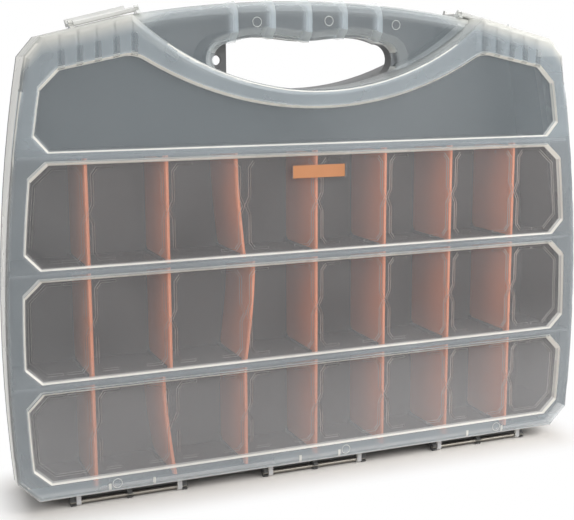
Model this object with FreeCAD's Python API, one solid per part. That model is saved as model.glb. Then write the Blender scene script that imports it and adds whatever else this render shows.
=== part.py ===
"""Accessory storage case: a tray with rows of loose dividers under a see-through lid.

The case stands upright, as it is carried. X runs across it, Y from the lid's face to the
tray's back, Z up. The origin is on the ground under the middle of the case.
"""
import FreeCAD, Part
import math
import os

V = FreeCAD.Vector
ACROSS = V(1, 0, 0)
BACK = V(0, 1, 0)
octant = math.pi / 4
# A bevel of this share of a radius touches the rounding that it stands for.
bevel_share = 2 - math.sqrt(2)

# One overrun serves every cut and every block that is trimmed later.
overrun = 6.0
# Pieces of one moulding reach this far into each other before they are fused.
weld = 0.4

# Outline of the case, seen from the front
case_width = 380.0
case_depth = 56.0
widest_height = 87.0
side_radius = 880.0
body_bottom = 7.8
bottom_inset = 15.0
corner_inset = 26.5
shoulder_rise = 65.5
corner_run = 9.5
corner_drop = 10.9
shoulder_angle = 13.45
grip_arc_radius = 170.0
grip_arc_rise = 35.0

# Slanted split between lid and tray: near the face at the hinge, mid-depth at the handle
hinge_setback = 8.3
hinge_height = 2.2
split_setback = 27.0
split_drop = 7.5
split_gap = 0.3

# Shells
lid_wall = 1.8
lid_edge_round = 3.5
tray_wall = 2.0
tray_floor = 2.2
tray_draft = 2.5
tray_edge_bevel = 3.0
flange_overhang = 3.0
flange_thickness = 2.5
grip_step = 0.3

# Rows of compartments, counted from the top wall downwards
row_count = 3
row_pitch = 65.0
bottom_wall_height = 10.0
row_wall = 1.6
row_wall_clearance = 0.5

# Loose dividers and the ribs that guide them
divider_count = 7
divider_thickness = 1.4
divider_bead = 2.7
divider_bead_length = 5.0
divider_bead_flat_share = 0.4
divider_corner = 4.0
divider_clearance = 0.3
guide_thickness = 1.2
guide_rise = 2.0

# Sunken panels of the lid
frame_width = 10.0
bar_width = 5.4
panel_recess = 2.8
panel_wall = 1.6
panel_slope = 1.6
panel_corner = 9.0
top_panel_side_rise = 37.8
top_panel_corner = 10.6
top_panel_angle = 11.8
top_panel_arc_radius = 211.0
top_panel_arc_gap = 9.6
top_panel_peak_round = 6.0
arc_bulge_share = 0.5

# Bracket ribs on the back of the panels, which pen in the dividers' front edges
bracket_rise = 1.2
bracket_width = 1.3
bracket_offset = 3.2
bracket_corner_run = 2.8
bracket_corner_drop = 3.7
bracket_waist = 5.6
bracket_end = 9.0
bracket_margin = 3.8

# Stiffening ribs inside the lid
shoulder_rib_count = 5
shoulder_rib_inset = 10.3
shoulder_rib_pitch = 10.2
shoulder_rib_thickness = 1.2
shoulder_rib_depth = 9.0
gusset_offset = 13.4
gusset_thickness = 1.5
gusset_height = 5.5
gusset_depth = 4.0

# Handle and the hole through it
handle_end_inset = 49.5
handle_rise = 52.4
handle_setback = 13.4
handle_round = 9.0
hole_end_half = 51.0
hole_end_radius = 9.6
hole_wave_half = 20.9
hole_wave_rise = 3.5
hole_middle_rise = 1.7
ring_count = 5
ring_pitch = 23.5
ring_ramp = 7.0
ring_rise = 1.0
tab_width = 11.1
tab_thickness = 3.0
tab_inset = 1.0
hang_hole_radius = 2.9
hang_hole_edge = 5.1

# Hinges along the bottom
hinge_count = 3
hinge_end_inset = 18.5
lug_offset = 34.0
lug_width = 3.0
hook_offset = 30.8
hook_width = 2.8
hook_wall = 0.9
pin_radius = 1.0
pin_fit = 0.05
hook_fit = 0.08
snap_mouth_share = 0.85
snap_lip_share = 0.6
rail_gap = 0.5
rail_thickness = 2.0
rail_bottom = 3.4
foot_inset = 35.0
foot_width = 40.0
foot_taper = 4.0
foot_depth = 12.0
foot_setback = 4.0

# Latches on the shoulders
latch_inset = 39.5
latch_width = 36.0
latch_length = 23.0
latch_thickness = 1.8
latch_lift = 0.5
latch_axis_ahead = 6.5
latch_barrel = 1.5
latch_lip_height = 5.0
latch_lip_thickness = 2.0
latch_slot_width = 25.0
latch_slot_length = 1.8
latch_slot_setback = 7.0
latch_pin_radius = 0.9
latch_pin_fit = 0.08
latch_ear_width = 2.4
latch_ear_gap = 0.3
latch_ear_wall = 1.1

# Bare badge plate and the rim that frames it
badge_width = 34.0
badge_height = 7.6
badge_thickness = 0.7
badge_drop = 13.6
badge_gap = 0.15
badge_rim = 0.8
badge_rim_rise = 1.1

# Places across the case, from its width
bottom_half = case_width / 2 - bottom_inset
corner_half = case_width / 2 - corner_inset
handle_half = corner_half - handle_end_inset
latch_offset = corner_half - latch_inset
shoulder_rib_first = corner_half - shoulder_rib_inset - (shoulder_rib_count - 1) * shoulder_rib_pitch
divider_pitch = (case_width - 2 * tray_wall) / (divider_count + 1)
hinge_reach = lug_offset + lug_width / 2
hinge_pitch = 2 * (bottom_half - hinge_end_inset - hinge_reach) / (hinge_count - 1)
foot_offset = bottom_half - foot_inset - foot_width / 2

# Heights, from the rows upwards
row_wall_height = bottom_wall_height + row_count * row_pitch
corner_height = row_wall_height + shoulder_rise
split_height = corner_height - split_drop
grip_arc_low = row_wall_height + grip_arc_rise
handle_top = grip_arc_low + handle_rise
top_panel_side_top = row_wall_height + top_panel_side_rise
top_panel_arc_low = grip_arc_low - top_panel_arc_gap
badge_centre = row_wall_height - badge_drop

# Depths, slopes and what follows from them
face = -case_depth / 2
back = case_depth / 2
hinge_y = face + hinge_setback
split_slope = (split_setback - hinge_setback) / (split_height - hinge_height)
shoulder_slope = math.tan(math.radians(shoulder_angle))
draft_slope = math.tan(math.radians(tray_draft))
floor_y = back - tray_floor
panel_back = face + panel_recess + panel_wall
bracket_back = panel_back + bracket_rise
divider_front = bracket_back + divider_clearance
divider_back = floor_y - divider_clearance
divider_height = row_pitch - row_wall - 2 * divider_clearance
row_wall_front = face + lid_wall + row_wall_clearance
ceiling = handle_top + overrun
edge_x = case_width / 2 + overrun
tray_bottom_step = bottom_wall_height + row_wall / 2 - tray_wall - body_bottom
latch_y = face + split_setback - latch_axis_ahead
latch_axis_lift = latch_lift + latch_barrel


def side_x(z, inset):
    """Half-width of the bulging sides at a height."""
    radius = side_radius - inset
    return math.sqrt(radius ** 2 - (z - widest_height) ** 2) - side_radius + case_width / 2


def grip_z(x):
    """Height of the hollow under the handle at a distance from the middle."""
    return grip_arc_low + grip_arc_radius - math.sqrt(grip_arc_radius ** 2 - x ** 2)


def shoulder_z(x):
    """Height of the sloping shoulder at a distance from the middle."""
    return corner_height + (corner_half - x) * shoulder_slope


def split_y(z):
    """Where the split between lid and tray lies at a height."""
    return hinge_y + (z - hinge_height) * split_slope


def row_wall_z(index):
    """Middle of a row wall; wall 0 is the top one, the last is the tray's bottom wall."""
    return row_wall_height - index * row_pitch


def centred(count, pitch):
    """Places of a row of equal steps about zero."""
    return [(index - (count - 1) / 2) * pitch for index in range(count)]


def box(low, high):
    """Block between two corners."""
    return Part.makeBox(high[0] - low[0], high[1] - low[1], high[2] - low[2], V(*low))


def polygon_y(corners, y):
    """Closed wire through (x, z) corners at one depth."""
    points = [V(x, y, z) for x, z in corners]
    return Part.makePolygon(points + points[:1])


def prism_y(wire, depth):
    """Solid from a wire, drawn back along Y."""
    return Part.Face(wire).extrude(V(0, depth, 0))


def prism_x(corners, start, end):
    """Solid from (y, z) corners, drawn along X."""
    points = [V(start, y, z) for y, z in corners]
    outline = Part.makePolygon(points + points[:1])
    return Part.Face(outline).extrude(V(end - start, 0, 0))


def rod_x(radius, start, end, y, z):
    """Round bar along X."""
    return Part.makeCylinder(radius, end - start, V(start, y, z), ACROSS)


def tapered_rod_y(near_radius, far_radius, x, near, far, z):
    """Round block along Y, straight or tapered."""
    base = V(x, near, z)
    if abs(near_radius - far_radius) < Part.Precision.confusion():
        return Part.makeCylinder(near_radius, far - near, base, BACK)
    return Part.makeCone(near_radius, far_radius, far - near, base, BACK)


def symmetric_wire(y, start, steps):
    """Closed wire of a right-hand path and its mirror image.

    A step is an end point, or a middle and an end point for an arc.
    """
    edges = []
    here = start
    for step in steps:
        for side in (1, -1):
            stops = [V(side * x, y, z) for x, z in (here,) + step]
            curve = Part.Arc(*stops) if len(stops) == 3 else Part.LineSegment(*stops)
            edges.append(curve.toShape())
        here = step[-1]
    for x, z in (start, here):
        if x > 0:
            edges.append(Part.LineSegment(V(-x, y, z), V(x, y, z)).toShape())
    return Part.Wire(Part.__sortEdges__(edges))


def inset_corners(corners, insets):
    """Moves each edge of a convex outline inwards by its own amount."""
    lines = []
    for index, inset in enumerate(insets):
        x0, z0 = corners[index]
        x1, z1 = corners[(index + 1) % len(corners)]
        length = math.hypot(x1 - x0, z1 - z0)
        along = ((x1 - x0) / length, (z1 - z0) / length)
        lines.append((x0 - along[1] * inset, z0 + along[0] * inset, along))
    moved = []
    for index, (x1, z1, along) in enumerate(lines):
        x0, z0, before = lines[index - 1]
        cross = before[0] * along[1] - before[1] * along[0]
        reach = ((x1 - x0) * along[1] - (z1 - z0) * along[0]) / cross
        moved.append((x0 + before[0] * reach, z0 + before[1] * reach))
    return moved


def body_corners(bottom_inset, inset):
    """Straight edges of the body: underside, corner cuts and shoulders."""
    cut_low = corner_height - (edge_x - corner_half) * corner_drop / corner_run
    right = [(bottom_half, body_bottom),
             (edge_x, body_bottom + edge_x - bottom_half),
             (edge_x, cut_low),
             (corner_half, corner_height)]
    left = [(-x, z) for x, z in reversed(right)]
    corners = right + [(0, shoulder_z(0))] + left
    insets = [inset] * (len(corners) - 1) + [bottom_inset]
    return inset_corners(corners, insets)


def body_block(near, far, near_insets, far_insets):
    """Body of the case between two depths; insets are for the bottom, the sides and the grip."""
    ends = [polygon_y(body_corners(near_insets[0], near_insets[1]), near),
            polygon_y(body_corners(far_insets[0], far_insets[1]), far)]
    block = Part.makeLoft(ends, True, True)
    for side in (1, -1):
        bulge = tapered_rod_y(side_radius - near_insets[1], side_radius - far_insets[1],
                              side * (case_width / 2 - side_radius), near, far, widest_height)
        block = block.common(bulge)
    hollow = tapered_rod_y(grip_arc_radius + near_insets[2], grip_arc_radius + far_insets[2],
                           0, near, far, grip_arc_low + grip_arc_radius)
    return block.cut(hollow)


def edges_at(shape, y):
    """Edges that lie flat at one depth."""
    return [edge for edge in shape.Edges
            if all(abs(vertex.Y - y) < weld / 2 for vertex in edge.Vertexes)]


def lid_body():
    """Front of the body with a rounded face edge."""
    whole = (0, 0, 0)
    block = body_block(face, back, whole, whole)
    return block.makeFillet(lid_edge_round, edges_at(block, face))


def lid_hollow():
    """Space inside the lid's body; its slanted front edge keeps the wall even behind the rounding."""
    near = face + lid_wall
    slant = (lid_edge_round - lid_wall) * bevel_share
    wall = (lid_wall,) * 3
    tip = (lid_wall + slant,) * 3
    front = body_block(near, near + slant, tip, wall)
    return front.fuse(body_block(near + slant, back, wall, wall))


def hole_wire(y, grow):
    """Outline of the handle's hole: round ends and a wavy upper edge for the fingers."""
    radius = hole_end_radius + grow
    middle = grip_z(hole_end_half) + hole_end_radius
    top = middle + radius
    bottom = middle - radius
    low = grip_arc_low - overrun
    wave = Part.BSplineCurve()
    wave.interpolate([V(-hole_end_half, y, top), V(-hole_wave_half, y, top + hole_wave_rise),
                      V(0, y, top + hole_middle_rise),
                      V(hole_wave_half, y, top + hole_wave_rise), V(hole_end_half, y, top)])
    edges = [wave.toShape(),
             Part.Arc(V(-hole_end_half, y, bottom), V(0, y, low), V(hole_end_half, y, bottom)).toShape()]
    for side in (1, -1):
        stops = [V(side * hole_end_half, y, top),
                 V(side * (hole_end_half + radius), y, middle),
                 V(side * hole_end_half, y, bottom)]
        edges.append(Part.Arc(*stops).toShape())
    return Part.Wire(Part.__sortEdges__(edges))


def handle_block(inset):
    """Square-edged handle, both halves, with its hole; its root runs down into the body."""
    near = face + handle_setback + inset
    far = face + 2 * split_setback - handle_setback - inset
    end = shoulder_z(handle_half) - inset
    root = grip_arc_low - overrun - hole_end_radius
    stops = [V(-handle_half, near, end), V(-handle_half, near, root),
             V(handle_half, near, root), V(handle_half, near, end)]
    crown = Part.Arc(stops[3], V(0, near, handle_top - inset), stops[0]).toShape()
    plan = Part.Wire(Part.makePolygon(stops).Edges + [crown])
    return prism_y(plan, far - near).cut(prism_y(hole_wire(near, inset), far - near))


def handle_rims(bar):
    """Curved edges on the handle's two faces: those of the crown, then those of the hole."""
    rims = [edge for edge in edges_at(bar, bar.BoundBox.YMin) + edges_at(bar, bar.BoundBox.YMax)
            if edge.Curve.TypeId != "Part::GeomLine"]
    crown = [edge for edge in rims if edge.BoundBox.XMax > handle_half - weld]
    hole = [edge for edge in rims if edge.BoundBox.XMax <= handle_half - weld]
    return crown, hole


def handle_bar(inset):
    """Handle with a rounded crown; the hole's edges have flat bevels."""
    bar = handle_block(inset)
    bar = bar.makeChamfer((handle_round - inset) * bevel_share, handle_rims(bar)[1])
    return bar.makeFillet(handle_round - inset, handle_rims(bar)[0])


def handle_bevelled(inset):
    """Handle with flat bevels all round, for the hollows and the tray's half."""
    bar = handle_block(inset)
    crown, hole = handle_rims(bar)
    return bar.makeChamfer((handle_round - inset) * bevel_share, crown + hole)


def bar_section(bar, x):
    """Closed outline of the handle above its hole, at one place along it."""
    wires = bar.slice(ACROSS, x)
    return max(wires, key=lambda wire: wire.CenterOfMass.z)


def grip_rings():
    """Ramped rings along the handle, each rising to a sharp step."""
    sunk = handle_bar(weld)
    proud = handle_bar(-ring_rise)
    rings = []
    for x in centred(ring_count, ring_pitch):
        ends = [bar_section(sunk, x - ring_ramp), bar_section(proud, x)]
        rings.append(Part.makeLoft(ends, True, True))
    return rings


def split_half(side):
    """Everything on one side of the split: -1 is the lid's side, 1 the tray's."""
    gap = side * split_gap / 2
    far = side * (back + overrun)
    corners = [(split_y(-overrun) + gap, -overrun), (split_y(ceiling) + gap, ceiling),
               (far, ceiling), (far, -overrun)]
    return prism_x(corners, -edge_x, edge_x)


def row_panel_wire(low, high, y, shrink):
    """Outline of a row's sunken panel: straight top and bottom, bulging ends, cut corners."""
    bottom = low + shrink
    top = high - shrink
    inset = frame_width + shrink
    middle = (bottom + top) / 2
    steps = [((side_x(bottom + panel_corner, inset), bottom + panel_corner),),
             ((side_x(middle, inset), middle), (side_x(top - panel_corner, inset), top - panel_corner)),
             ((side_x(top, inset) - panel_corner, top),)]
    return symmetric_wire(y, (side_x(bottom, inset) - panel_corner, bottom), steps)


def top_panel_wire(y, shrink):
    """Outline of the top panel: cut corners, sloping shoulders, an arc under the handle."""
    bottom = row_wall_height + bar_width / 2 + shrink
    inset = frame_width + shrink
    radius = top_panel_arc_radius + shrink
    centre = top_panel_arc_low + top_panel_arc_radius
    slope = math.tan(math.radians(top_panel_angle))
    side_top = top_panel_side_top - shrink * math.tan((math.pi / 2 - math.radians(top_panel_angle)) / 2)
    middle = (bottom + panel_corner + side_top) / 2
    corner_x = side_x(side_top, inset) - top_panel_corner
    corner_z = side_top + top_panel_corner
    level = corner_z + corner_x * slope - centre
    turn = 1 + slope ** 2
    peak = (level * slope + math.sqrt(level ** 2 * slope ** 2 - turn * (level ** 2 - radius ** 2))) / turn

    def shoulder(x):
        return (x, corner_z + (corner_x - x) * slope)

    def arc(x):
        return (x, centre - math.sqrt(radius ** 2 - x ** 2))

    before = shoulder(peak + top_panel_peak_round)
    after = arc(peak - top_panel_peak_round)
    tip = shoulder(peak)
    chord = ((before[0] + after[0]) / 2, (before[1] + after[1]) / 2)
    crest = tuple(c + (t - c) * arc_bulge_share for c, t in zip(chord, tip))
    steps = [((side_x(bottom + panel_corner, inset), bottom + panel_corner),),
             ((side_x(middle, inset), middle), (side_x(side_top, inset), side_top)),
             ((corner_x, corner_z),),
             (before,),
             (crest, after),
             (arc(after[0] / 2), arc(0))]
    return symmetric_wire(y, (side_x(bottom, inset) - panel_corner, bottom), steps)


def row_panel_span(index):
    """Lower and upper edge of a row's sunken panel."""
    low = row_wall_z(index + 1) + bar_width / 2
    if index == row_count - 1:
        low = body_bottom + frame_width
    return low, row_wall_z(index) - bar_width / 2


def panel_wires():
    """Outline makers of the four panels, each called with a depth and a shrink."""
    makers = [top_panel_wire]
    for index in range(row_count):
        low, high = row_panel_span(index)
        makers.append(lambda y, shrink, low=low, high=high: row_panel_wire(low, high, y, shrink))
    return makers


def pan(maker):
    """Sunken panel with its sloping wall, as a solid block."""
    depth = panel_recess + panel_wall
    lean = panel_slope / panel_recess
    start = face + weld
    ends = [maker(start, lean * weld - lid_wall), maker(face + depth, lean * depth - lid_wall)]
    return Part.makeLoft(ends, True, True)


def recess(maker):
    """Space in front of a sunken panel."""
    lean = panel_slope / panel_recess
    ends = [maker(face - weld, -lean * weld), maker(face + panel_recess, panel_slope)]
    return Part.makeLoft(ends, True, True)


def ribbon(points, width, near, far):
    """Rib of even width along a path of (x, z) points."""
    left, right = [], []
    for index, (x, z) in enumerate(points):
        x0, z0 = points[max(index - 1, 0)]
        x1, z1 = points[min(index + 1, len(points) - 1)]
        ways = []
        for ax, az, bx, bz in ((x0, z0, x, z), (x, z, x1, z1)):
            length = math.hypot(bx - ax, bz - az)
            if length > 0:
                ways.append(((bx - ax) / length, (bz - az) / length))
        way_x = sum(way[0] for way in ways)
        way_z = sum(way[1] for way in ways)
        norm = math.hypot(way_x, way_z)
        way_x, way_z = way_x / norm, way_z / norm
        half = width / 2 / (way_x * ways[0][0] + way_z * ways[0][1])
        left.append((x - way_z * half, z + way_x * half))
        right.append((x + way_z * half, z - way_x * half))
    return prism_y(polygon_y(left + right[::-1], near), far - near)


def bracket_paths(low, high):
    """Paths of one row's brackets: a pair waisted about each divider, one at each end wall."""
    top = high - bracket_margin
    bottom = low + bracket_margin
    waist = (top + bottom) / 2
    corner = bracket_offset + bracket_corner_run
    shape = [(corner + bracket_end, top), (corner, top),
             (bracket_offset, top - bracket_corner_drop),
             (bracket_offset, waist + bracket_waist),
             (bracket_width / 2, waist),
             (bracket_offset, waist - bracket_waist),
             (bracket_offset, bottom + bracket_corner_drop),
             (corner, bottom), (corner + bracket_end, bottom)]
    paths = []
    for place in centred(divider_count, divider_pitch):
        for side in (1, -1):
            paths.append([(place + side * x, z) for x, z in shape])
    inset = frame_width + bracket_margin
    cut = panel_corner
    end = [(side_x(top, inset) - cut - bracket_end, top), (side_x(top, inset) - cut, top),
           (side_x(top - cut, inset), top - cut), (side_x(bottom + cut, inset), bottom + cut),
           (side_x(bottom, inset) - cut, bottom), (side_x(bottom, inset) - cut - bracket_end, bottom)]
    for side in (1, -1):
        paths.append([(side * x, z) for x, z in end])
    return paths


def brackets():
    """All bracket ribs on the back of the lid's row panels."""
    ribs = []
    for index in range(row_count):
        for path in bracket_paths(*row_panel_span(index)):
            ribs.append(ribbon(path, bracket_width, panel_back - weld, bracket_back))
    return ribs


def lid_stiffeners():
    """Upright ribs under the shoulders and small gussets above the hinges, inside the lid."""
    reach = (lid_wall - weld,) * 3
    inside = body_block(face + lid_wall - weld, back, reach, reach)
    behind_panel = prism_y(top_panel_wire(face, weld - lid_wall), shoulder_rib_depth + weld)
    inside = inside.cut(behind_panel)
    ribs = []
    for index in range(shoulder_rib_count):
        for side in (1, -1):
            x = side * (shoulder_rib_first + index * shoulder_rib_pitch)
            half = shoulder_rib_thickness / 2
            plate = box((x - half, face, top_panel_side_top),
                        (x + half, face + shoulder_rib_depth, ceiling))
            ribs.append(plate.common(inside))
    low = body_bottom + lid_wall - weld
    near = face + lid_wall - weld
    for centre in centred(hinge_count, hinge_pitch):
        for side in (1, -1):
            x = centre + side * gusset_offset
            corners = [(near, low), (near + gusset_depth, low), (near, low + gusset_height)]
            ribs.append(prism_x(corners, x - gusset_thickness / 2, x + gusset_thickness / 2))
    return ribs


def octagon_rows(y, z, apothem, corners):
    """Chosen corners of an octagon about a hinge axis, as (y, z); corner 0 is just above +Y."""
    radius = apothem / math.cos(octant / 2)
    turns = [octant / 2 + corner * octant for corner in corners]
    return [(y + radius * math.cos(turn), z + radius * math.sin(turn)) for turn in turns]


def snap_pocket(start, end, y, z, pin, fit):
    """Pocket open to the front, with a narrow mouth that a round pin snaps through."""
    half = pin + fit
    mouth = pin * snap_mouth_share
    lip = y - half * snap_lip_share
    front = y - overrun
    upper = [(front, z + mouth), (lip, z + mouth), (lip, z + half), (y + half, z + half)]
    lower = [(row_y, 2 * z - row_z) for row_y, row_z in reversed(upper)]
    return prism_x(upper + lower, start - weld, end + weld)


def hinge_hooks():
    """Hooks under the lid that hold the hinge pins from below."""
    bore = pin_radius + hook_fit
    radius = bore + hook_wall
    top = body_bottom + weld
    under = (4, 5, 6, 7)
    outline = [(hinge_y - radius, top)] + octagon_rows(hinge_y, hinge_height, radius, under)
    outline += [(hinge_y + radius, hinge_height), (hinge_y + bore, hinge_height)]
    outline += octagon_rows(hinge_y, hinge_height, bore, reversed(under))
    outline += [(hinge_y - bore, hinge_height + bore), (hinge_y - split_gap, hinge_height + 2 * bore),
                (hinge_y - split_gap, top)]
    hooks = []
    for centre in centred(hinge_count, hinge_pitch):
        for side in (1, -1):
            start = centre + side * hook_offset - hook_width / 2
            hooks.append(prism_x(outline, start, start + hook_width))
    return hooks


def on_shoulder(shape, side):
    """Sets a piece drawn on level ground onto the right or the left shoulder."""
    placed = shape.copy()
    placed.rotate(V(0, 0, 0), BACK, shoulder_angle)
    placed.translate(V(latch_offset, 0, shoulder_z(latch_offset)))
    return placed if side > 0 else placed.mirror(V(0, 0, 0), ACROSS)


def latch_ears():
    """Ears on the lid's shoulders that carry the latches' pins."""
    radius = latch_pin_radius + latch_pin_fit + latch_ear_wall
    ears = []
    for side in (1, -1):
        for end in (1, -1):
            middle = end * (latch_width / 2 + latch_ear_gap + latch_ear_width / 2)
            start = middle - latch_ear_width / 2
            stop = middle + latch_ear_width / 2
            high = latch_axis_lift + radius
            corners = [(latch_y - 2 * radius, -lid_wall / 2), (latch_y + 2 * radius, -lid_wall / 2),
                       (latch_y + radius, latch_axis_lift), (latch_y + radius / 2, high),
                       (latch_y - radius / 2, high), (latch_y - radius, latch_axis_lift)]
            ear = prism_x(corners, start, stop)
            pocket = snap_pocket(start, stop, latch_y, latch_axis_lift, latch_pin_radius, latch_pin_fit)
            ears.append(on_shoulder(ear.cut(pocket), side))
    return ears


def latch(side):
    """Flap that folds from the lid over the tray's flange, with a finger lip and a slot."""
    half = latch_width / 2
    end = latch_y + latch_length
    low = latch_lift
    high = latch_lift + latch_thickness
    knuckle = latch_axis_lift + latch_barrel
    profile = [(latch_y - latch_barrel, low + latch_barrel / 2), (latch_y - latch_barrel / 2, low),
               (end, low), (end, latch_lip_height),
               (end - latch_lip_thickness, latch_lip_height),
               (end - latch_lip_thickness - latch_thickness, high), (latch_y + 2 * latch_barrel, high),
               (latch_y + latch_barrel / 2, knuckle), (latch_y - latch_barrel / 2, knuckle),
               (latch_y - latch_barrel, knuckle - latch_barrel / 2)]
    flap = prism_x(profile, -half, half)
    reach = half + latch_ear_gap + latch_ear_width
    pin = rod_x(latch_pin_radius, -reach, reach, latch_y, latch_axis_lift)
    slot_y = latch_y + latch_slot_setback
    slot = box((-latch_slot_width / 2, slot_y, low - weld),
               (latch_slot_width / 2, slot_y + latch_slot_length, high + weld))
    return on_shoulder(flap.cut(slot).fuse(pin), side)


def badge_frame():
    """Raised rim on the row panel around the badge."""
    half_x = badge_width / 2 + badge_gap
    half_z = badge_height / 2 + badge_gap
    near = face + panel_recess - badge_rim_rise
    far = face + panel_recess + weld
    outer = box((-half_x - badge_rim, near, badge_centre - half_z - badge_rim),
                (half_x + badge_rim, far, badge_centre + half_z + badge_rim))
    inner = box((-half_x, near - weld, badge_centre - half_z),
                (half_x, far - weld, badge_centre + half_z))
    return outer.cut(inner)


def badge_plate():
    """Bare plate that sits in the badge rim."""
    far = face + panel_recess
    return box((-badge_width / 2, far - badge_thickness, badge_centre - badge_height / 2),
               (badge_width / 2, far, badge_centre + badge_height / 2))


def lid():
    """See-through lid: a rounded shell with four sunken panels and half of the handle."""
    body = lid_body()
    outer = body.multiFuse([handle_bar(0)] + grip_rings())
    hollow = lid_hollow().fuse(handle_bevelled(lid_wall).cut(body))
    shell = outer.cut(hollow)
    makers = panel_wires()
    shell = shell.multiFuse([pan(maker) for maker in makers] + lid_stiffeners())
    shell = shell.common(split_half(-1))
    shell = shell.multiFuse(hinge_hooks() + latch_ears() + brackets())
    for maker in makers:
        shell = shell.cut(recess(maker))
    return shell.fuse(badge_frame())


def tray_insets(y, wall):
    """Insets of the tray's wall at a depth; the sides lean in towards the back."""
    side = flange_overhang + (y - hinge_y) * draft_slope + wall
    return (tray_bottom_step + wall, side, grip_step + wall)


def tray_shell():
    """Tray with its slanted rim flange, before the fittings."""
    near = hinge_y - overrun
    edge = back - tray_edge_bevel
    bevel = [inset + tray_edge_bevel for inset in tray_insets(back, 0)]
    body = body_block(near, edge, tray_insets(near, 0), tray_insets(edge, 0))
    body = body.fuse(body_block(edge, back, tray_insets(edge, 0), bevel))
    whole = (0, 0, 0)
    flange = body_block(hinge_y, back, whole, whole)
    behind = split_half(1)
    beyond = behind.copy()
    beyond.translate(V(0, flange_thickness, 0))
    flange = flange.common(behind).cut(beyond)
    outer = body.fuse(handle_bevelled(0)).common(behind).fuse(flange)
    cavity = body_block(near, floor_y, tray_insets(near, tray_wall), tray_insets(floor_y, tray_wall))
    return outer.cut(cavity.fuse(handle_bevelled(tray_wall).cut(body)))


def row_walls():
    """Walls between the rows; they stand proud of the rim and reach into the lid's bars."""
    near_insets = tray_insets(row_wall_front, weld)
    far_insets = tray_insets(back - tray_floor + weld, weld)
    field = body_block(row_wall_front, back - tray_floor + weld, near_insets, far_insets)
    walls = []
    for index in range(row_count):
        middle = row_wall_z(index)
        slab = box((-edge_x, face, middle - row_wall / 2), (edge_x, back, middle + row_wall / 2))
        walls.append(slab.common(field))
    return walls


def divider_guides():
    """Pairs of ribs on the row walls that hold each divider upright."""
    slot = divider_thickness / 2 + divider_clearance
    near = divider_front + divider_bead_length + divider_clearance
    far = floor_y + weld
    ribs = []
    for row in range(row_count):
        top = row_wall_z(row) - row_wall / 2
        bottom = row_wall_z(row + 1) + row_wall / 2
        for place in centred(divider_count, divider_pitch):
            for side in (1, -1):
                inner = place + side * slot
                outer = inner + side * guide_thickness
                start, end = min(inner, outer), max(inner, outer)
                ribs.append(box((start, near, top - guide_rise), (end, far, top + weld)))
                ribs.append(box((start, near, bottom - weld), (end, far, bottom + guide_rise)))
    return ribs


def hang_tab():
    """Tab with a hang hole, closing the left end of the handle's hole."""
    near = face + split_setback + tab_inset
    left = -hole_end_half - hole_end_radius
    plate = prism_y(hole_wire(near, weld), tab_thickness)
    reach = box((left - overrun, near, grip_z(left) - hole_end_radius),
                (left + tab_width, near + tab_thickness, handle_top))
    hole = Part.makeCylinder(hang_hole_radius, tab_thickness + 2 * weld,
                             V(left + hang_hole_edge, near - weld, grip_z(hole_end_half) + hole_end_radius),
                             BACK)
    return plate.common(reach).cut(hole)


def tray_hinges():
    """Open lugs that the hinge pins snap into, the rail behind them, and two feet at the back."""
    rail_near = hinge_y + pin_radius + hook_fit + hook_wall + rail_gap
    rail_far = rail_near + rail_thickness
    top = body_bottom + tray_bottom_step + weld
    outline = octagon_rows(hinge_y, hinge_height, hinge_height, (2, 3, 4, 5))
    outline += [(hinge_y + hinge_height, 0), (rail_far, rail_bottom), (rail_far, top), (rail_near, top)]
    fittings = []
    for centre in centred(hinge_count, hinge_pitch):
        fittings.append(box((centre - lug_offset, rail_near, rail_bottom),
                          (centre + lug_offset, rail_far, top)))
        for place in (-lug_offset, 0, lug_offset):
            start = centre + place - lug_width / 2
            end = start + lug_width
            lug = prism_x(outline, start, end)
            fittings.append(lug.cut(snap_pocket(start, end, hinge_y, hinge_height, pin_radius, pin_fit)))
    far = back - foot_setback
    for side in (1, -1):
        middle = side * foot_offset
        corners = [(middle - foot_width / 2 + foot_taper, 0), (middle + foot_width / 2 - foot_taper, 0),
                   (middle + foot_width / 2, top), (middle - foot_width / 2, top)]
        fittings.append(prism_y(polygon_y(corners, far - foot_depth), foot_depth))
    return fittings


def tray():
    """Dark tray: shell, row walls, divider guides, hang tab, hinge lugs and feet."""
    return tray_shell().multiFuse(row_walls() + divider_guides() + [hang_tab()] + tray_hinges())


def hinge_pin(centre):
    """Wire pin through the three lugs of one hinge."""
    return rod_x(pin_radius, centre - hinge_reach, centre + hinge_reach, hinge_y, hinge_height)


def divider(place, row):
    """Loose divider: a thin plate with a swelling along its front edge and cut back corners."""
    low = row_wall_z(row + 1) + row_wall / 2 + divider_clearance
    plate = box((place - divider_thickness / 2, divider_front, low),
                (place + divider_thickness / 2, divider_back, low + divider_height))
    corners = [edge for edge in edges_at(plate, divider_back)
               if abs(edge.Vertexes[0].X - edge.Vertexes[-1].X) > divider_thickness / 2]
    plate = plate.makeChamfer(divider_corner, corners)
    half = divider_bead / 2
    slant = divider_bead_length * (1 - divider_bead_flat_share) / 2
    end = divider_front + divider_bead_length
    side = [(divider_thickness / 2, divider_front), (half, divider_front + slant),
            (half, end - slant), (divider_thickness / 2, end)]
    outline = [V(place + x, y, low) for x, y in side + [(-x, y) for x, y in reversed(side)]]
    bead = Part.Face(Part.makePolygon(outline + outline[:1])).extrude(V(0, 0, divider_height))
    return plate.fuse(bead)


def pieces():
    """Every piece of the case by name."""
    made = {"tray": tray(), "lid": lid(), "badge_plate": badge_plate()}
    for side, word in ((-1, "left"), (1, "right")):
        made["latch_" + word] = latch(side)
    for index, centre in enumerate(centred(hinge_count, hinge_pitch)):
        made["hinge_pin_%d" % (index + 1)] = hinge_pin(centre)
    for row in range(row_count):
        for index, place in enumerate(centred(divider_count, divider_pitch)):
            made["divider_row%d_%d" % (row + 1, index + 1)] = divider(place, row)
    return made


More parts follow.
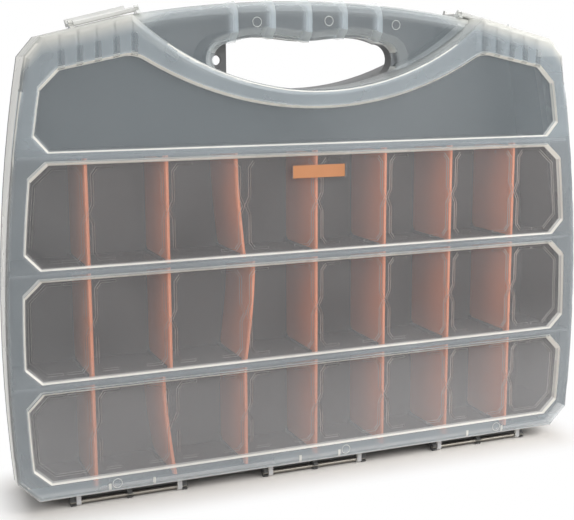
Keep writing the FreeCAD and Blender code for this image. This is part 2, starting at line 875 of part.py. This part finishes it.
os.makedirs("parts", exist_ok=True)
for name, shape in pieces().items():
    solid = shape.removeSplitter()
    print(name, len(solid.Solids), solid.isValid())
    solid.exportStep("parts/%s.step" % name)
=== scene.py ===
"""Looks of the accessory storage case: a see-through lid, a dark tray and orange dividers.

Metres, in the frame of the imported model: X runs across, Y from the lid's face to the back, Z up.
"""

import math

import bmesh
import bpy
from mathutils import Euler, Matrix, Vector


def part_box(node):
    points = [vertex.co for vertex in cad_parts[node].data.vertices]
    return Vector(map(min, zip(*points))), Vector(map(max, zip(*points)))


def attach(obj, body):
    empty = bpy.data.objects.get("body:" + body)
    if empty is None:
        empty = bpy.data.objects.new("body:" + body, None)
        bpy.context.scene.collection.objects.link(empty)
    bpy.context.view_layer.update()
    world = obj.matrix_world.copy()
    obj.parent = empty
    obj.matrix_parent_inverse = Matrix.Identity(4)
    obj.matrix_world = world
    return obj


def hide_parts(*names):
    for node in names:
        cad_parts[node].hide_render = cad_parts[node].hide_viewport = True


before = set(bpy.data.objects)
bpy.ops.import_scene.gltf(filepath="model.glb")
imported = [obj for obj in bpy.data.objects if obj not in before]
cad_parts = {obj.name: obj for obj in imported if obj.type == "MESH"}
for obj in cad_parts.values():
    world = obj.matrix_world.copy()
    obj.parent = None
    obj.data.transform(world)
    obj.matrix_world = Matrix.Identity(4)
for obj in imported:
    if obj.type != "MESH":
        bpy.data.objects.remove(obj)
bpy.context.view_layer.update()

# Camera, found from the photograph's vanishing lines and the case's own corners
CAMERA_PLACE = (-0.2677, -0.6283, 0.2565)
CAMERA_YAW = math.radians(-22.25)
CAMERA_PITCH = math.radians(10.29)
CAMERA_ROLL = math.radians(-0.21)
CAMERA_LENS = 68.55
CAMERA_SENSOR = 36.0

# Lamps: name, place, aim, size across, size up, power, colour
LAMPS = (
    ("key", (0.64, -0.6, 0.68), (0.1, 0.0, 0.12), 0.7, 0.6, 9.4, (1.0, 0.99, 0.975)),
    ("fill", (-1.0, -1.15, 1.0), (0.0, 0.0, 0.12), 1.1, 0.8, 8.6, (0.97, 0.985, 1.0)),
    ("top", (0.0, 0.3, 1.5), (0.0, 0.0, 0.1), 1.3, 0.9, 12.5, (1.0, 1.0, 1.0)),
)
AMBIENT = 0.3
WHITE = (1, 1, 1, 1)

# Floor: pale, with the shadow beside the case's footprint, fading to plain white away from it
FLOOR_HALF = 6.0
FLOOR_PALE = (0.76, 0.735, 0.71, 1.0)
FOOTPRINT = (0.17, 0.022)
FLOOR_WHITE_FROM = 0.003
FLOOR_WHITE_TO = 0.038

# Clouds in the plastics: the noise values between which a mix goes all the way, and fineness
CLOUD_RANGE = (0.3, 0.7)
CLOUD_DETAIL = 4
CLOUD_SCALE = 24
FLOW_SCALE = 60
FLOW_DETAIL = 3
FLOW_STRETCH = (1, 1, 0.15)
FLOW_SHARE = 0.4
MIST_RANGE = (0.9, 1.1)
CLEAR_IOR = 1.49

# Tray, dividers and badge plate: darker and paler colour, gloss from and to
TRAY_PLASTIC = ((0.070, 0.072, 0.075, 1), (0.092, 0.094, 0.096, 1), (0.42, 0.55))
DIVIDER_PLASTIC = ((0.62, 0.20, 0.092, 1), (0.68, 0.235, 0.112, 1), (0.35, 0.48))
BADGE_PLASTIC = ((0.44, 0.19, 0.082, 1), (0.48, 0.21, 0.095, 1), (0.3, 0.42))

# Painted shade: dividers darken towards the tray's floor, where the deep compartments lie in shade
DIVIDER_PAINTED_SHADE = 0.42
PAINTED_SHADE_FROM = -0.022
PAINTED_SHADE_TO = 0.018
PAINTED_SHADE_COLOUR = (0.10, 0.085, 0.08, 1.0)

# Hinge wire, with fine marks along it
WIRE_DARK = (0.30, 0.28, 0.25, 1)
WIRE_PALE = (0.38, 0.36, 0.32, 1)
WIRE_ROUGH = (0.42, 0.55)
DRAWN_SCALE = 400
DRAWN_DETAIL = 3
DRAWN_STRETCH = (0.02, 1, 1)

# Latches: the lid's plastic in thicker pieces, densest on edges that face the front
LATCH_DARK = (0.55, 0.555, 0.54, 1.0)
LATCH_PALE = (0.62, 0.62, 0.60, 1.0)
LATCH_ALPHA = 0.9
LATCH_FLAT_ALPHA = 0.8
LATCH_EDGE = (0.3, 0.8)
LATCH_ROUGH = (0.25, 0.36)
LATCH_CLOUD_SCALE = 30

# See-through lid, by where its walls lie; opacities are for one surface
LID_CLOUD_SCALE = 14
LID_ROUGH = (0.22, 0.32)
ROW_ALPHA = 0.088
# Lower rows are hazier and so paler: painted light from the floor below
LOW_ROW_FLOOR_LIGHT_ALPHA = 0.17
TOP_PANEL_ALPHA = 0.11
FRAME_ALPHA = 0.25
LOW_FRAME_ALPHA = 0.33
TOP_FRAME_ALPHA = 0.33
HOOK_ALPHA = 0.72
ROW_COLOUR = (0.70, 0.70, 0.715, 1.0)
FRAME_COLOUR = (0.60, 0.685, 0.74, 1.0)
LID_FACE = -0.028
FRAME_FRONT = -0.0278
FRAME_INSIDE = -0.0262
TOP_PANEL_FROM = 0.200
TOP_PANEL_TO = 0.212
LOW_ROW_FROM = 0.11
LOW_ROW_TO = 0.03
LOW_FRAME_FROM = 0.0185
LOW_FRAME_TO = 0.0165
HOOK_TOP = 0.0104
HOOK_FULL = 0.0092

# Edges of the lid, where the plastic is seen end on and is pale; a normal's Y is 1 square to the front
EDGE_ALPHA = 0.72
# This colour also serves the painted highlight along the top
EDGE_AND_HIGHLIGHT_COLOUR = (0.84, 0.84, 0.79, 1.0)
EDGE_TURN = (0.9, 0.35)
LIP_TURN = (0.97, 0.6)
LIP_BACK = -0.0238
TOP_TURN = (0.3, 0.9)
TOP_SHARE = 0.5
BACK_TURN = (0.3, 0.0)
BACK_SLOPE_SHARE = 0.35
UPRIGHT = 0.9

# Bracket ribs on the panels' backs, which are fainter than the outer edges
RIB_FIELD = 0.158
RIB_FLOOR = 0.0165
RIB_SHOULDER = 0.2405
RIB_SHARE = 0.6
SHOULDER_RIB_SHARE = 0.0

# Side walls of the lid, as in the part: bowed, dark inside where the tray's rim shows, dense outside
SIDE_FROM = 0.1855
SIDE_WIDEST = 0.087
SIDE_RADIUS = 0.88
SIDE_ALPHA = 0.88
SIDE_COLOUR = (0.13, 0.14, 0.15, 1.0)
WALL_ALPHA = 0.85

# Step of a sunken panel: a bright line near the face, dimmer down its slope; the pale end-on plastic with a
# painted highlight on the step's edge
LINE_ALPHA = 0.76
LINE_HIGHLIGHT_COLOUR = (0.90, 0.88, 0.82, 1.0)
LINE_TURN = (0.9, 0.7)
DOWN_TURN = (-0.1, -0.4)
LINE_FROM = -0.0261
LINE_FULL = -0.0270
LINE_FROM_DOWN = -0.0250
LINE_FULL_DOWN = -0.0258
STEP_END = -0.0249
STEP_SOFT = 0.0002
SLOPE_SHARE = 0.3
STEP_FIELD = (0.1815, 0.0165, 0.2665)

# Gussets above the hinges, as in the part: the frame is paler where they meet it
GUSSET_HALF_PITCH = 0.0605
GUSSET_OFFSET = 0.0134
GUSSET_HALF = 0.0008
GUSSET_SPAN = (0.0095, 0.0138)
GUSSET_ALPHA = 0.62

# Ribs under the shoulders, as in the part: sides painted dark as painted shade, and the frame is clearer in a
# band before each
RIB_FIRST = 0.1124
RIB_PITCH = 0.0102
RIB_SPAN = (0.1095, 0.1557)
RIB_SIDE_TURN = 0.95
RIB_SIDE_ALPHA = 0.5
RIB_SIDE_SHADE_COLOUR = (0.20, 0.245, 0.28, 1.0)
RIB_BAND_HALF = 0.0018
RIB_BAND_SOFT = 0.0006
RIB_BAND_FROM = 0.008
RIB_BAND_FULL = 0.013
RIB_BAND_ALPHA = 0.24

# Upper outline, as in the part: handle crown, sloping shoulders, cut corners; the lid is painted pale below
# it, a painted highlight along the top
CROWN_TOP = 0.2924
CROWN_RADIUS = 0.651
SHOULDER_END = (0.1635, 0.2705)
SHOULDER_SLOPE = 0.2392
CORNER_SLOPE = 1.15
RIM_DEEP = 0.012
RIM_FULL = 0.001
RIM_HIGHLIGHT_ALPHA = 0.42
RIM_HANDLE_SHARE = 0.3
RIM_HANDLE_END = 0.085
RIM_SHOULDER = 0.118

# Ramped rings on the handle, as in the part: the plastic is thicker towards each step and painted paler
# there, a painted highlight on each ramp's crest
RING_FIRST = -0.047
RING_PITCH = 0.0235
RING_RAMP_SHARE = 0.3
RING_REACH = (-0.0545, 0.0471)
RING_HEIGHT = 0.268
RING_HIGHLIGHT_ALPHA = 0.45

# Loose dividers that lean, with the shift of their lower and upper ends
LEANING = (("divider_row1_3", 0.0, -0.0046), ("divider_row2_3", 0.0, 0.0058),
           ("divider_row3_2", 0.0012, -0.0048))
LEAN_BEND = 1.7
LEAN_CUTS = 10

# Witness marks of ejector pins: places across and up, on the handle and on the bottom frame
MARK_RADIUS = 0.00275
MARK_RISE = 0.00018
MARK_RIM = 0.0002
MARK_STEPS = 32
HANDLE_FACE = -0.0146
HANDLE_MARKS = ((-0.035, 0.2795), (0.0113, 0.2805), (0.0568, 0.2785))
FRAME_MARKS = ((-0.130, 0.0134), (0.018, 0.0134), (0.130, 0.0134))

# Sockets of Blender's mix node when it mixes colours: share, first colour, second colour; result
MIX_COLOUR_INPUTS = (0, 6, 7)
MIX_COLOUR_RESULT = 2


def add(tree, kind, inputs=None, **settings):
    """Adds a node with its settings; an input is a value, or a socket to link from."""
    made = tree.nodes.new(kind)
    for key, value in settings.items():
        setattr(made, key, value)
    for key, value in (inputs or {}).items():
        if isinstance(value, bpy.types.NodeSocket):
            tree.links.new(value, made.inputs[key])
        else:
            made.inputs[key].default_value = value
    return made


def new_tree(owner):
    """Empty node tree of a material or world."""
    owner.use_nodes = True
    owner.node_tree.nodes.clear()
    return owner.node_tree


def new_material(name):
    """Node material with a bare principled shader; returns the material, tree and shader."""
    made = bpy.data.materials.new(name)
    tree = new_tree(made)
    shader = add(tree, "ShaderNodeBsdfPrincipled")
    add(tree, "ShaderNodeOutputMaterial", {"Surface": shader.outputs[0]})
    return made, tree, shader


def arithmetic(tree, operation, first, second=0.0):
    """Result of a sum, product or other plain operation."""
    return add(tree, "ShaderNodeMath", {0: first, 1: second}, operation=operation).outputs[0]


def product(tree, first, *others):
    """Product of several values."""
    for other in others:
        first = arithmetic(tree, "MULTIPLY", first, other)
    return first


def above(tree, value, level):
    """1 where a value is over a level, else 0."""
    return arithmetic(tree, "GREATER_THAN", value, level)


def below(tree, value, level):
    """1 where a value is under a level, else 0."""
    return arithmetic(tree, "LESS_THAN", value, level)


def size_of(tree, value):
    """A value without its sign."""
    return arithmetic(tree, "ABSOLUTE", value)


def ramp(tree, value, start, end, low, high):
    """Maps a value smoothly from one range to another."""
    return add(tree, "ShaderNodeMapRange", {"Value": value, "From Min": start, "From Max": end,
                                            "To Min": low, "To Max": high},
               interpolation_type="SMOOTHSTEP").outputs["Result"]


def blend_value(tree, share, low, high):
    """Number between two others."""
    return add(tree, "ShaderNodeMix", {"Factor": share, "A": low, "B": high}).outputs["Result"]


def blend_colour(tree, share, low, high):
    """Colour between two others."""
    sockets = dict(zip(MIX_COLOUR_INPUTS, (share, low, high)))
    return add(tree, "ShaderNodeMix", sockets, data_type="RGBA").outputs[MIX_COLOUR_RESULT]


def noise(tree, place, scale, detail, stretch=(1, 1, 1)):
    """Noise value over the object, stretched along its axes if asked."""
    spread = add(tree, "ShaderNodeMapping", {"Vector": place, "Scale": stretch})
    return add(tree, "ShaderNodeTexNoise", {"Vector": spread.outputs[0], "Scale": scale,
                                            "Detail": detail}).outputs["Fac"]


def parts_of(tree, vector):
    """X, Y and Z of a vector."""
    return add(tree, "ShaderNodeSeparateXYZ", {0: vector}).outputs


def moulded(name, plastic, painted_shade=0.0):
    """Solid moulded plastic: cloudy colour and uneven gloss, with painted shade darkening it towards the back
    if asked.
    """
    dark, pale, rough = plastic
    made, tree, shader = new_material(name)
    place = add(tree, "ShaderNodeTexCoord").outputs["Object"]
    cloud = noise(tree, place, CLOUD_SCALE, CLOUD_DETAIL)
    flow = noise(tree, place, FLOW_SCALE, FLOW_DETAIL, FLOW_STRETCH)
    share = ramp(tree, blend_value(tree, FLOW_SHARE, cloud, flow), *CLOUD_RANGE, 0, 1)
    # Painted shade: darker towards the back of the compartments
    shade_share = ramp(tree, parts_of(tree, place)["Y"], PAINTED_SHADE_FROM, PAINTED_SHADE_TO, 0, painted_shade)
    colour = blend_colour(tree, shade_share, blend_colour(tree, share, dark, pale), PAINTED_SHADE_COLOUR)
    tree.links.new(colour, shader.inputs["Base Color"])
    tree.links.new(ramp(tree, cloud, *CLOUD_RANGE, *rough), shader.inputs["Roughness"])
    return made


def ring_share(tree, spot):
    """How far up the ramp of a handle ring a point lies, from 0 to 1."""
    along = arithmetic(tree, "DIVIDE", arithmetic(tree, "SUBTRACT", spot["X"], RING_FIRST), RING_PITCH)
    climb = ramp(tree, arithmetic(tree, "FRACT", along), 1 - RING_RAMP_SHARE, 1, 0, 1)
    return product(tree, climb, above(tree, spot["X"], RING_REACH[0]), below(tree, spot["X"], RING_REACH[1]),
                   above(tree, spot["Z"], RING_HEIGHT))


def edge_share(tree, way, spot):
    """How pale and dense an edge is: full on slopes towards the front, less on backs and inner faces."""
    flat = size_of(tree, way["Y"])
    lip = product(tree, ramp(tree, flat, *LIP_TURN, 0, 1), below(tree, spot["Y"], LIP_BACK))
    edge = arithmetic(tree, "MAXIMUM", ramp(tree, flat, *EDGE_TURN, 0, 1), lip)
    top = ramp(tree, way["Z"], *TOP_TURN, 1, TOP_SHARE)
    front = ramp(tree, way["Y"], *BACK_TURN, BACK_SLOPE_SHARE, 1)
    step = ramp(tree, spot["Y"], STEP_END, STEP_END - STEP_SOFT, 1, SLOPE_SHARE)
    return product(tree, edge, top, front, step, rib_share(tree, way, spot))


def rib_share(tree, way, spot):
    """1 on outer edges, less on the upright faces of the ribs behind the panels."""
    upright = above(tree, size_of(tree, way["X"]), UPRIGHT)
    field = product(tree, below(tree, size_of(tree, spot["X"]), RIB_FIELD), above(tree, spot["Z"], RIB_FLOOR))
    inward = below(tree, product(tree, way["X"], spot["X"]), 0.0)
    inner = product(tree, upright, arithmetic(tree, "MAXIMUM", field, inward))
    high = above(tree, spot["Z"], RIB_SHOULDER)
    return blend_value(tree, inner, 1.0, blend_value(tree, high, RIB_SHARE, SHOULDER_RIB_SHARE))


def step_highlight_share(tree, way, spot):
    """1 on the front of a panel's step, where a thin painted highlight stands for its edge catching the
    light.
    """
    slope = ramp(tree, size_of(tree, way["Y"]), *LINE_TURN, 0, 1)
    down = ramp(tree, way["Z"], *DOWN_TURN, 0, 1)
    near = ramp(tree, spot["Y"], blend_value(tree, down, LINE_FROM, LINE_FROM_DOWN),
                blend_value(tree, down, LINE_FULL, LINE_FULL_DOWN), 0, 1)
    return product(tree, slope, near, inside_outline(tree, spot), below(tree, way["Y"], 0.0))


def inside_outline(tree, spot):
    """1 where the panels' steps lie, 0 on the rounded outer edge of the face."""
    across, low, high = STEP_FIELD
    return product(tree, below(tree, size_of(tree, spot["X"]), across), above(tree, spot["Z"], low),
                   below(tree, spot["Z"], high))


def in_rib_span(tree, spot):
    """1 under the shoulders, where the ribs stand."""
    across = size_of(tree, spot["X"])
    return product(tree, above(tree, across, RIB_SPAN[0]), below(tree, across, RIB_SPAN[1]),
                   above(tree, spot["Z"], RIB_SHOULDER))


def rib_side_share(tree, way, spot):
    """1 on the side faces of the ribs under the shoulders, which get a painted shade."""
    return product(tree, above(tree, size_of(tree, way["X"]), RIB_SIDE_TURN), in_rib_span(tree, spot))


def rib_band_share(tree, spot):
    """1 on the frame's face in front of a rib under the shoulder, below the painted highlight along the top.
    """
    along = arithmetic(tree, "SUBTRACT", size_of(tree, spot["X"]), RIB_FIRST)
    place = arithmetic(tree, "PINGPONG", along, RIB_PITCH / 2)
    band = ramp(tree, place, RIB_BAND_HALF + RIB_BAND_SOFT, RIB_BAND_HALF - RIB_BAND_SOFT, 0, 1)
    under_rim = ramp(tree, outline_depth(tree, spot), RIB_BAND_FROM, RIB_BAND_FULL, 0, 1)
    return product(tree, band, under_rim, in_rib_span(tree, spot), below(tree, spot["Y"], FRAME_INSIDE))


def gusset_share(tree, spot):
    """1 on the bottom frame where a gusset stands behind it."""
    place = arithmetic(tree, "PINGPONG", spot["X"], GUSSET_HALF_PITCH)
    away = size_of(tree, arithmetic(tree, "SUBTRACT", place, GUSSET_OFFSET))
    return product(tree, below(tree, away, GUSSET_HALF), above(tree, spot["Z"], GUSSET_SPAN[0]),
                   below(tree, spot["Z"], GUSSET_SPAN[1]), below(tree, spot["Y"], FRAME_INSIDE))


def side_share(tree, way, spot, turned):
    """1 on the lid's side walls: on their inside if turned is below, on their outside if it is above."""
    steep = above(tree, size_of(tree, way["X"]), UPRIGHT)
    rise = arithmetic(tree, "SUBTRACT", spot["Z"], SIDE_WIDEST)
    bow = arithmetic(tree, "DIVIDE", product(tree, rise, rise), 2 * SIDE_RADIUS)
    reach = arithmetic(tree, "ADD", size_of(tree, spot["X"]), bow)
    faces = turned(tree, product(tree, way["X"], spot["X"]), 0.0)
    return product(tree, faces, steep, above(tree, reach, SIDE_FROM))


def outline_depth(tree, spot):
    """How far a point lies below the case's upper outline."""
    across = size_of(tree, spot["X"])
    bow = arithmetic(tree, "DIVIDE", product(tree, across, across), 2 * CROWN_RADIUS)
    outline = arithmetic(tree, "SUBTRACT", CROWN_TOP, bow)
    run = arithmetic(tree, "SUBTRACT", SHOULDER_END[0], across)
    for slope in (SHOULDER_SLOPE, CORNER_SLOPE):
        line = arithmetic(tree, "ADD", product(tree, run, slope), SHOULDER_END[1])
        outline = arithmetic(tree, "MINIMUM", outline, line)
    return arithmetic(tree, "SUBTRACT", outline, spot["Z"])


def top_highlight_share(tree, spot):
    """How close a point lies below the upper outline, from 0 to 1: the share of the painted highlight along
    the top.
    """
    close = ramp(tree, outline_depth(tree, spot), RIM_DEEP, RIM_FULL, 0, 1)
    across = size_of(tree, spot["X"])
    return product(tree, close, ramp(tree, across, RIM_HANDLE_END, RIM_SHOULDER, RIM_HANDLE_SHARE, 1))


def lid_material():
    """Milky see-through plastic: clear in the sunken panels, cloudier in the frame, pale at edges."""
    made, tree, shader = new_material("lid_plastic")
    coords = add(tree, "ShaderNodeTexCoord")
    way = parts_of(tree, coords.outputs["Normal"])
    spot = parts_of(tree, coords.outputs["Object"])
    upper = ramp(tree, spot["Z"], TOP_PANEL_FROM, TOP_PANEL_TO, 0, 1)
    lower = ramp(tree, spot["Z"], LOW_FRAME_FROM, LOW_FRAME_TO, 0, 1)
    raised = ramp(tree, spot["Y"], FRAME_INSIDE, FRAME_FRONT, 0, 1)
    hook = ramp(tree, spot["Z"], HOOK_TOP, HOOK_FULL, 0, 1)
    edge = edge_share(tree, way, spot)
    # Painted highlight along the top of the lid
    rim = top_highlight_share(tree, spot)
    side = side_share(tree, way, spot, below)
    # Painted highlight on the panels' steps
    line = step_highlight_share(tree, way, spot)
    gusset = gusset_share(tree, spot)
    # Painted shade on the rib sides
    rib_side = rib_side_share(tree, way, spot)

    # Painted light from the floor: the rows grow hazier and paler towards the bottom
    rows = ramp(tree, spot["Z"], LOW_ROW_FROM, LOW_ROW_TO, ROW_ALPHA, LOW_ROW_FLOOR_LIGHT_ALPHA)
    panel = blend_value(tree, upper, rows, TOP_PANEL_ALPHA)
    bars = blend_value(tree, lower, blend_value(tree, upper, FRAME_ALPHA, TOP_FRAME_ALPHA), LOW_FRAME_ALPHA)
    opacity = blend_value(tree, raised, panel, bars)
    # The ring layer adds a painted highlight on each ramp's crest
    layers = ((rim, RIM_HIGHLIGHT_ALPHA), (edge, EDGE_ALPHA), (ring_share(tree, spot), RING_HIGHLIGHT_ALPHA), (hook, HOOK_ALPHA),
              (side_share(tree, way, spot, above), WALL_ALPHA), (side, SIDE_ALPHA), (line, LINE_ALPHA),
              (gusset, GUSSET_ALPHA), (rib_side, RIB_SIDE_ALPHA),
              (rib_band_share(tree, spot), RIB_BAND_ALPHA))
    for share, alpha in layers:
        opacity = blend_value(tree, share, opacity, alpha)
    cloud = noise(tree, coords.outputs["Object"], LID_CLOUD_SCALE, CLOUD_DETAIL)
    misty = product(tree, opacity, ramp(tree, cloud, *CLOUD_RANGE, *MIST_RANGE))
    tree.links.new(misty, shader.inputs["Alpha"])

    # Pale colour on the edges and gussets, and the painted highlight along the top
    pale = arithmetic(tree, "MAXIMUM", arithmetic(tree, "MAXIMUM", edge, rim), gusset)
    tint = blend_colour(tree, arithmetic(tree, "MAXIMUM", raised, upper), ROW_COLOUR, FRAME_COLOUR)
    for share, colour in ((pale, EDGE_AND_HIGHLIGHT_COLOUR), (line, LINE_HIGHLIGHT_COLOUR), (rib_side, RIB_SIDE_SHADE_COLOUR),
                          (side, SIDE_COLOUR)):
        tint = blend_colour(tree, share, tint, colour)
    tree.links.new(tint, shader.inputs["Base Color"])
    tree.links.new(ramp(tree, cloud, *CLOUD_RANGE, *LID_ROUGH), shader.inputs["Roughness"])
    shader.inputs["IOR"].default_value = CLEAR_IOR
    return made


def latch_material():
    """The lid's plastic in a thicker, plainer piece: milky all over, densest at its front edges."""
    made, tree, shader = new_material("latch_plastic")
    coords = add(tree, "ShaderNodeTexCoord")
    way = parts_of(tree, coords.outputs["Normal"])
    cloud = noise(tree, coords.outputs["Object"], LATCH_CLOUD_SCALE, CLOUD_DETAIL)
    edge = ramp(tree, size_of(tree, way["Y"]), *LATCH_EDGE, 0, 1)
    opacity = blend_value(tree, edge, LATCH_FLAT_ALPHA, LATCH_ALPHA)
    misty = product(tree, opacity, ramp(tree, cloud, *CLOUD_RANGE, *MIST_RANGE))
    tree.links.new(misty, shader.inputs["Alpha"])
    tree.links.new(blend_colour(tree, cloud, LATCH_DARK, LATCH_PALE), shader.inputs["Base Color"])
    tree.links.new(ramp(tree, cloud, *CLOUD_RANGE, *LATCH_ROUGH), shader.inputs["Roughness"])
    shader.inputs["IOR"].default_value = CLEAR_IOR
    return made


def steel_material():
    """Drawn wire with fine marks along it."""
    made, tree, shader = new_material("pin_wire")
    place = add(tree, "ShaderNodeTexCoord").outputs["Object"]
    drawn = noise(tree, place, DRAWN_SCALE, DRAWN_DETAIL, DRAWN_STRETCH)
    tree.links.new(blend_colour(tree, drawn, WIRE_DARK, WIRE_PALE), shader.inputs["Base Color"])
    tree.links.new(ramp(tree, drawn, *CLOUD_RANGE, *WIRE_ROUGH), shader.inputs["Roughness"])
    shader.inputs["Metallic"].default_value = 1.0
    return made


def seen_rays(tree):
    """1 for rays that show the background: straight to the camera, by gloss or through glass."""
    rays = add(tree, "ShaderNodeLightPath").outputs
    seen = arithmetic(tree, "MAXIMUM", rays["Is Camera Ray"], rays["Is Glossy Ray"])
    return arithmetic(tree, "MAXIMUM", seen, rays["Is Transmission Ray"])


def floor_material():
    """Pale floor that keeps the shadow beside the case and fades to plain white away from it."""
    made = bpy.data.materials.new("floor")
    tree = new_tree(made)
    spot = parts_of(tree, add(tree, "ShaderNodeTexCoord").outputs["Object"])
    gaps = []
    for axis, half in zip("XY", FOOTPRINT):
        gap = arithmetic(tree, "SUBTRACT", size_of(tree, spot[axis]), half)
        gap = arithmetic(tree, "MAXIMUM", gap, 0.0)
        gaps.append(product(tree, gap, gap))
    reach = arithmetic(tree, "SQRT", arithmetic(tree, "ADD", *gaps))
    share = ramp(tree, reach, FLOOR_WHITE_FROM, FLOOR_WHITE_TO, 0, 1)
    white = product(tree, seen_rays(tree), share)
    pale = add(tree, "ShaderNodeBsdfDiffuse", {"Color": FLOOR_PALE})
    plain = add(tree, "ShaderNodeEmission", {"Color": WHITE, "Strength": 1.0})
    mixed = add(tree, "ShaderNodeMixShader", {0: white, 1: pale.outputs[0], 2: plain.outputs[0]})
    add(tree, "ShaderNodeOutputMaterial", {"Surface": mixed.outputs[0]})
    return made


def new_object(name, data):
    """Object for a mesh, lamp or camera, in the scene."""
    made = bpy.data.objects.new(name, data)
    bpy.context.collection.objects.link(made)
    return made


def dress(piece, material, body):
    """Gives a new piece its material and body."""
    piece.data.materials.clear()
    piece.data.materials.append(material)
    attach(piece, body)


def leaning_divider(node, foot, head, material):
    """Divider that has slipped out of its guides; it leans and bows along its height."""
    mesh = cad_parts[node].data.copy()
    low, high = (corner[2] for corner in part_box(node))
    work = bmesh.new()
    work.from_mesh(mesh)
    for cut in range(1, LEAN_CUTS):
        level = low + (high - low) * cut / LEAN_CUTS
        everything = work.verts[:] + work.edges[:] + work.faces[:]
        bmesh.ops.bisect_plane(work, geom=everything, plane_co=(0, 0, level), plane_no=(0, 0, 1))
    for vert in work.verts:
        share = (vert.co.z - low) / (high - low)
        vert.co.x += foot + (head - foot) * (1 - (1 - share) ** LEAN_BEND)
    work.to_mesh(mesh)
    work.free()
    piece = new_object("leaning_" + node, mesh)
    dress(piece, material, "tray")
    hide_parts(node)


def witness_mark(name, across, front, up, material):
    """Low round ridge left about an ejector pin."""
    radii = ((MARK_RADIUS + MARK_RIM, 0.0), (MARK_RADIUS, MARK_RISE), (MARK_RADIUS - MARK_RIM, 0.0))
    turns = [2 * math.pi * step / MARK_STEPS for step in range(MARK_STEPS)]
    mesh = bpy.data.meshes.new(name)
    work = bmesh.new()
    rings = []
    for radius, rise in radii:
        rings.append([work.verts.new((across + radius * math.cos(turn), front - rise,
                                      up + radius * math.sin(turn))) for turn in turns])
    for outer, inner in zip(rings, rings[1:] + rings[:1]):
        for step in range(MARK_STEPS):
            after = (step + 1) % MARK_STEPS
            work.faces.new((outer[step], outer[after], inner[after], inner[step]))
    bmesh.ops.recalc_face_normals(work, faces=work.faces)
    work.to_mesh(mesh)
    work.free()
    dress(new_object(name, mesh), material, "lid")


def make_camera():
    """Camera at the photograph's place and angle."""
    data = bpy.data.cameras.new("camera")
    data.sensor_fit = "HORIZONTAL"
    data.sensor_width = CAMERA_SENSOR
    data.lens = CAMERA_LENS
    made = new_object("camera", data)
    turn = Euler((math.pi / 2 - CAMERA_PITCH, 0, CAMERA_YAW)).to_matrix()
    turn = turn @ Matrix.Rotation(CAMERA_ROLL, 3, "Z")
    made.location = CAMERA_PLACE
    made.rotation_euler = turn.to_euler()
    bpy.context.scene.camera = made


def make_lamps():
    """Soft studio lamps."""
    for name, place, aim, across, up, power, colour in LAMPS:
        data = bpy.data.lights.new(name, "AREA")
        data.shape = "RECTANGLE"
        data.size = across
        data.size_y = up
        data.energy = power
        data.color = colour
        made = new_object(name, data)
        made.location = place
        made.rotation_euler = (Vector(aim) - Vector(place)).to_track_quat("-Z", "Y").to_euler()


def make_world():
    """White surroundings that light the case gently."""
    world = bpy.data.worlds.new("studio")
    bpy.context.scene.world = world
    tree = new_tree(world)
    level = blend_value(tree, seen_rays(tree), AMBIENT, 1.0)
    sky = add(tree, "ShaderNodeBackground", {"Color": WHITE, "Strength": level})
    add(tree, "ShaderNodeOutputWorld", {"Surface": sky.outputs[0]})


def make_floor():
    """Plain floor under the case."""
    mesh = bpy.data.meshes.new("floor")
    corners = [(-FLOOR_HALF, -FLOOR_HALF, 0), (FLOOR_HALF, -FLOOR_HALF, 0),
               (FLOOR_HALF, FLOOR_HALF, 0), (-FLOOR_HALF, FLOOR_HALF, 0)]
    mesh.from_pydata(corners, [], [(0, 1, 2, 3)])
    mesh.materials.append(floor_material())
    new_object("floor", mesh)


# Materials by the first word of a node's name
materials = {
    "lid": lid_material(),
    "tray": moulded("tray_plastic", TRAY_PLASTIC),
    "latch": latch_material(),
    "divider": moulded("divider_plastic", DIVIDER_PLASTIC, DIVIDER_PAINTED_SHADE),
    "badge": moulded("badge_plastic", BADGE_PLASTIC),
    "hinge": steel_material(),
}
for name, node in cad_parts.items():
    kind = name.split("_")[0]
    for place in node.material_slots:
        place.material = materials[kind]

for name, foot, head in LEANING:
    leaning_divider(name, foot, head, materials["divider"])
for index, (across, up) in enumerate(HANDLE_MARKS):
    witness_mark("handle_mark_%d" % (index + 1), across, HANDLE_FACE, up, materials["latch"])
for index, (across, up) in enumerate(FRAME_MARKS):
    witness_mark("frame_mark_%d" % (index + 1), across, LID_FACE, up, materials["latch"])

make_camera()
make_lamps()
make_world()
make_floor()
bpy.context.scene.view_settings.view_transform = "Standard"
